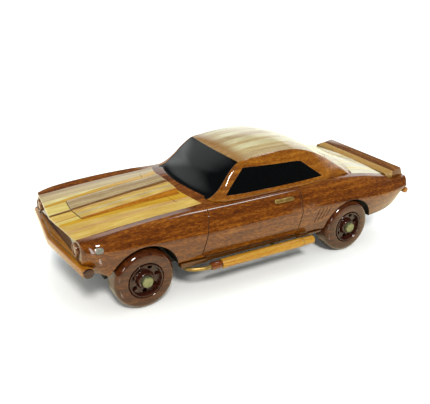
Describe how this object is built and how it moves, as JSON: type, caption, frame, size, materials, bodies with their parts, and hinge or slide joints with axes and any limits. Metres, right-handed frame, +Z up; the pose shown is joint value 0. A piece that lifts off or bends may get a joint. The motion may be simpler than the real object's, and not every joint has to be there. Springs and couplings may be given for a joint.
{
  "type": "wooden model car",
  "caption": "Hand-made laminated-wood display model of a late-1960s fastback coupe: raised hood scoop, side exhausts, tail spoiler and free-turning wooden wheels.",
  "frame": {"origin": "on the ground under the car, midway along its length, on its centre plane", "axes": "+Z up, -Y towards the nose, +X towards the car's own left side"},
  "size_m": [0.1554, 0.371, 0.1128],
  "materials": {
    "mahogany": "dark red-brown mahogany under a deep clear gloss lacquer",
    "dark_mahogany": "stained dark red-brown hardwood, clear gloss lacquer",
    "pale_wood": "laminated cream to tan boards with the joints and grain running along the car, clear gloss lacquer",
    "laminated_wood": "tan and brown striped hardwood, clear gloss lacquer",
    "honey_wood": "orange-brown honey-coloured hardwood, clear gloss lacquer",
    "yellow_wood": "yellow-orange hardwood, clear gloss lacquer",
    "black_lacquer": "black high-gloss lacquer on wood",
    "pearl_inlay": "pearly silver inlay, glossy",
    "brass": "pale, slightly greenish brass, satin polish"
  },
  "bodies": {
    "car_body": {"body_core": "laminated_wood", "cabin_core": "laminated_wood", "scoop_half_left": "laminated_wood", "scoop_half_right": "laminated_wood", "side_board_left": "mahogany", "side_board_right": "mahogany", "cowl_panel": "mahogany", "roof_side_left": "mahogany", "roof_side_right": "mahogany", "spoiler_blade": "mahogany", "hood_panel": "pale_wood", "roof_panel": "pale_wood", "trunk_lid": "pale_wood", "scoop_centre_strip": "dark_mahogany", "tail_panel": "dark_mahogany", "bumper_cap_left": "dark_mahogany", "bumper_cap_right": "dark_mahogany", "grille_panel": "dark_mahogany", "pipe_collar_left": "dark_mahogany", "pipe_collar_right": "dark_mahogany", "scoop_bevel_left": "honey_wood", "scoop_bevel_right": "honey_wood", "spoiler_base": "honey_wood", "tail_light_left": "honey_wood", "tail_light_right": "honey_wood", "rear_bumper": "honey_wood", "front_bumper": "honey_wood", "grille_sill": "honey_wood", "headlight_left": "honey_wood", "headlight_right": "honey_wood", "rocker_left": "honey_wood", "rocker_right": "honey_wood", "muffler_left": "yellow_wood", "muffler_right": "yellow_wood", "windshield": "black_lacquer", "rear_window": "black_lacquer", "side_window_left": "black_lacquer", "side_window_right": "black_lacquer", "side_marker_left": "pearl_inlay", "side_marker_right": "pearl_inlay", "door_handle_left": "brass", "door_handle_right": "brass", "header_pipe_left": "brass", "header_pipe_right": "brass", "pipe_hanger_left": "brass", "pipe_hanger_right": "brass", "axle_front": "brass", "axle_rear": "brass", "axle_cap_front_left": "brass", "axle_cap_front_right": "brass", "axle_cap_rear_left": "brass", "axle_cap_rear_right": "brass"},
    "wheel_front_left": {"tyre_front_left": "mahogany", "rim_front_left": "dark_mahogany"},
    "wheel_front_right": {"tyre_front_right": "mahogany", "rim_front_right": "dark_mahogany"},
    "wheel_rear_left": {"tyre_rear_left": "mahogany", "rim_rear_left": "dark_mahogany"},
    "wheel_rear_right": {"tyre_rear_right": "mahogany", "rim_rear_right": "dark_mahogany"}
  },
  "joints": [
    {"name": "front_left_wheel_spin", "type": "hinge", "parent": "car_body", "child": "wheel_front_left", "pos_m": [0.059, -0.1265, 0.0266], "axis": [1, 0, 0], "continuous": true},
    {"name": "front_right_wheel_spin", "type": "hinge", "parent": "car_body", "child": "wheel_front_right", "pos_m": [-0.059, -0.1265, 0.0266], "axis": [1, 0, 0], "continuous": true},
    {"name": "rear_left_wheel_spin", "type": "hinge", "parent": "car_body", "child": "wheel_rear_left", "pos_m": [0.059, 0.0935, 0.0266], "axis": [1, 0, 0], "continuous": true},
    {"name": "rear_right_wheel_spin", "type": "hinge", "parent": "car_body", "child": "wheel_rear_right", "pos_m": [-0.059, 0.0935, 0.0266], "axis": [1, 0, 0], "continuous": true}
  ]
}
